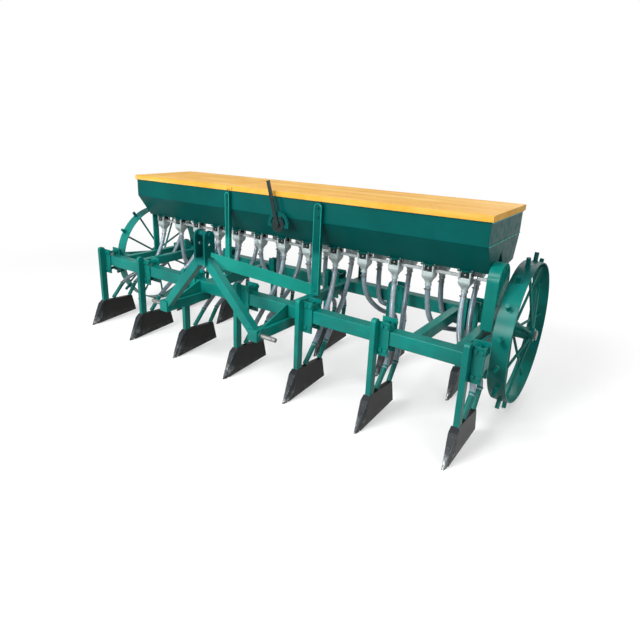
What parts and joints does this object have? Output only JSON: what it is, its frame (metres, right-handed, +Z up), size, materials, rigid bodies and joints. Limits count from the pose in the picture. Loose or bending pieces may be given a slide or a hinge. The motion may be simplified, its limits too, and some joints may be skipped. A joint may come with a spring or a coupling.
{
  "type": "seed drill",
  "caption": "Mounted seed and fertiliser drill with a long green hopper, yellow lids, pegged ground wheels, drop tubes and shovel tines on two beams.",
  "frame": {"origin": "middle of the bounding box, on the ground", "axes": "+X along the machine's width towards the chain case, -Y towards the tractor, +Z up"},
  "size_m": [2.692, 1.2763, 1.0288],
  "materials": {
    "green_paint": "gloss",
    "stay_paint": "gloss",
    "case_paint": "gloss",
    "lid_paint": "satin",
    "shoe_paint": "satin",
    "worn_steel": "worn",
    "tube_plastic": "translucent",
    "cup_plastic": "satin",
    "bright_steel": "bright",
    "plain_steel": "satin",
    "lever_paint": "satin"
  },
  "bodies": {
    "frame": {"axles": "plain_steel", "chain_case": "case_paint", "cross_members": "green_paint", "end_brackets": "green_paint", "feed_shafts": "bright_steel", "front_beam": "green_paint", "front_boots": "green_paint", "front_clamps": "green_paint", "front_feed_cups": "cup_plastic", "front_fertiliser_tubes": "tube_plastic", "front_hopper_posts": "green_paint", "front_points": "worn_steel", "front_seed_tubes": "tube_plastic", "front_shanks": "green_paint", "front_shoes": "shoe_paint", "hitch_gussets": "green_paint", "hopper_ends": "green_paint", "hopper_partition": "green_paint", "hopper_shell": "green_paint", "lid_hinges": "green_paint", "lower_hitch_arms": "green_paint", "lower_hitch_blocks": "green_paint", "lower_hitch_pins": "plain_steel", "mast_foot": "green_paint", "mast_legs": "green_paint", "mast_plates": "green_paint", "mast_spacer": "green_paint", "mast_stays": "stay_paint", "quadrant": "green_paint", "rate_lever": "lever_paint", "rear_beam": "green_paint", "rear_boots": "green_paint", "rear_clamps": "green_paint", "rear_feed_cups": "cup_plastic", "rear_fertiliser_tubes": "tube_plastic", "rear_hopper_posts": "green_paint", "rear_points": "worn_steel", "rear_seed_tubes": "tube_plastic", "rear_shanks": "green_paint", "rear_shoes": "shoe_paint", "wheel_arms": "green_paint"},
    "lid_left": {"lid_left": "lid_paint"},
    "lid_right": {"lid_right": "lid_paint"},
    "wheel_left": {"wheel_hub_left": "green_paint", "wheel_rim_left": "green_paint"},
    "wheel_right": {"wheel_hub_right": "green_paint", "wheel_rim_right": "green_paint"}
  },
  "joints": [
    {"name": "wheel_left_turn", "type": "hinge", "parent": "frame", "child": "wheel_left", "pos_m": [-1.277, 0.15174, 0.38151], "axis": [1, 0, 0], "continuous": true},
    {"name": "wheel_right_turn", "type": "hinge", "parent": "frame", "child": "wheel_right", "pos_m": [1.263, 0.25674, 0.38151], "axis": [1, 0, 0], "continuous": true},
    {"name": "lid_left_hinge", "type": "hinge", "parent": "frame", "child": "lid_left", "pos_m": [-0.74, 0.39374, 0.939], "axis": [-1, 0, 0], "range_deg": [0, 105]},
    {"name": "lid_right_hinge", "type": "hinge", "parent": "frame", "child": "lid_right", "pos_m": [0.42, 0.39374, 0.939], "axis": [-1, 0, 0], "range_deg": [0, 105]}
  ]
}
